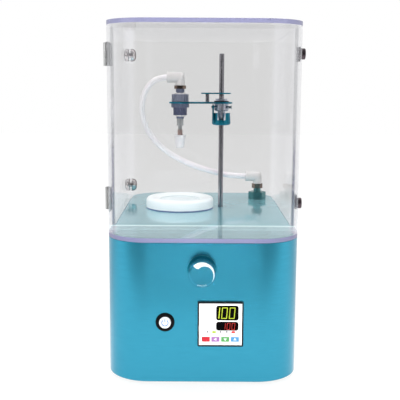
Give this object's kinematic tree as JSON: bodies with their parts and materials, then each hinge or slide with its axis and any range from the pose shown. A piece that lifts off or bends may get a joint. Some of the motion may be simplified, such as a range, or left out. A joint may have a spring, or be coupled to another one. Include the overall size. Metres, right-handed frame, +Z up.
{
  "type": "sample evaporator",
  "caption": "Bench sample evaporator: a painted base with a heated vial place under a clear hinged cover, and a rod-mounted arm that lowers a hose-fed plug onto the vial.",
  "frame": {"origin": "on the floor, under the middle of the object's box", "axes": "+Z up, the front with knob, switch and controller faces -Y, the door's hinges are at -X"},
  "size_m": [0.2195, 0.384, 0.38],
  "materials": {
    "teal_paint": "satin metallic paint",
    "zinc_steel": "zinc plated",
    "black_rubber": "matte",
    "deck_teal": "mirror gloss",
    "white_ring": "satin",
    "heater_metal": "machined",
    "rod_steel": "polished",
    "teal_metal": "anodised",
    "nickel": "plated",
    "white_plastic": "gloss",
    "clear_acrylic": "clear",
    "lilac_acrylic": "clear, tinted edges",
    "chrome": "polished",
    "dial_metal": "anodised",
    "valve_metal": "machined",
    "switch_black": "gloss",
    "black_plastic": "satin",
    "face_white": "satin",
    "display_dark": "gloss",
    "lamp": "gloss",
    "supply_metal": "plain",
    "hose_silicone": "translucent",
    "knob_dark": "anodised",
    "clamp_metal": "satin",
    "blue_grey_plastic": "satin",
    "tube_clear": "translucent",
    "sleeve_plastic": "satin",
    "white_cone": "satin",
    "teal_gloss": "gloss",
    "key_red": "satin",
    "key_purple": "satin",
    "key_green": "satin",
    "key_blue": "satin"
  },
  "bodies": {
    "base": {"base_housing": "teal_paint", "base_pan": "zinc_steel", "heater_spacers": "zinc_steel", "rod_nut": "zinc_steel", "catch_strikes": "zinc_steel", "lock_nuts": "zinc_steel", "rubber_feet": "black_rubber", "deck_plate": "deck_teal", "heater_ring": "white_ring", "heater_block": "heater_metal", "support_rod": "rod_steel", "port_body": "teal_metal", "port_hex": "nickel", "vacuum_barb": "nickel", "port_elbow": "white_plastic", "cover_wall": "clear_acrylic", "cover_top": "lilac_acrylic", "cover_bolts": "chrome", "hinge_fixed_leaves": "chrome", "hinge_pins": "chrome", "inlet_blades": "chrome", "knob_ring": "dial_metal", "flow_valve": "valve_metal", "switch_bezel": "switch_black", "controller_case": "black_plastic", "mains_inlet": "black_plastic", "controller_face": "face_white", "display_windows": "display_dark", "status_lamps": "lamp", "power_supply": "supply_metal", "hose": "hose_silicone"},
    "door": {"door_wall": "clear_acrylic", "door_top": "lilac_acrylic", "door_bottom": "lilac_acrylic", "hinge_door_leaves": "chrome", "catch_knobs": "knob_dark"},
    "arm": {"arm_plate": "teal_metal", "guide_plate": "teal_metal", "guide_post": "rod_steel", "clamp_pin": "rod_steel", "clamp_collar": "clamp_metal", "collet": "clamp_metal", "clamp_nut": "clamp_metal", "clamp_washer": "black_plastic", "upper_nut": "blue_grey_plastic", "lower_nut": "blue_grey_plastic", "plug_body": "blue_grey_plastic", "plug_collar": "blue_grey_plastic", "plug_hex": "nickel", "plug_elbow": "white_plastic", "vapour_tube": "tube_clear", "nozzle_sleeve": "sleeve_plastic", "plug_cone": "white_cone"},
    "lever": {"clamp_lever": "teal_metal"},
    "knob": {"flow_knob": "teal_gloss"},
    "power_button": {"switch_button": "white_plastic"},
    "key_1": {"key_1": "key_red"},
    "key_2": {"key_2": "key_purple"},
    "key_3": {"key_3": "key_green"},
    "key_4": {"key_4": "key_blue"}
  },
  "joints": [
    {"name": "door_swing", "type": "hinge", "parent": "base", "child": "door", "pos_m": [-0.107, -0.095, 0.268], "axis": [0, 0, -1], "range_deg": [0, 150]},
    {"name": "arm_lift", "type": "slide", "parent": "base", "child": "arm", "axis": [0, 0, 1], "range_m": [-0.06, 0.04], "deforming": ["hose"]},
    {"name": "lever_swing", "type": "hinge", "parent": "arm", "child": "lever", "pos_m": [0.0233, 0.0303, 0.287], "axis": [-1, 0, 0], "range_deg": [0, 60]},
    {"name": "knob_turn", "type": "hinge", "parent": "base", "child": "knob", "pos_m": [-0.0012, -0.17, 0.1255], "axis": [0, 1, 0], "range_deg": [0, 270]},
    {"name": "button_press", "type": "slide", "parent": "base", "child": "power_button", "axis": [0, 1, 0], "range_m": [0, 0.002], "stiffness_N_per_m": 600},
    {"name": "key_1_press", "type": "slide", "parent": "base", "child": "key_1", "axis": [0, 1, 0], "range_m": [0, 0.0005], "stiffness_N_per_m": 1500},
    {"name": "key_2_press", "type": "slide", "parent": "base", "child": "key_2", "axis": [0, 1, 0], "range_m": [0, 0.0005], "stiffness_N_per_m": 1500},
    {"name": "key_3_press", "type": "slide", "parent": "base", "child": "key_3", "axis": [0, 1, 0], "range_m": [0, 0.0005], "stiffness_N_per_m": 1500},
    {"name": "key_4_press", "type": "slide", "parent": "base", "child": "key_4", "axis": [0, 1, 0], "range_m": [0, 0.0005], "stiffness_N_per_m": 1500}
  ]
}
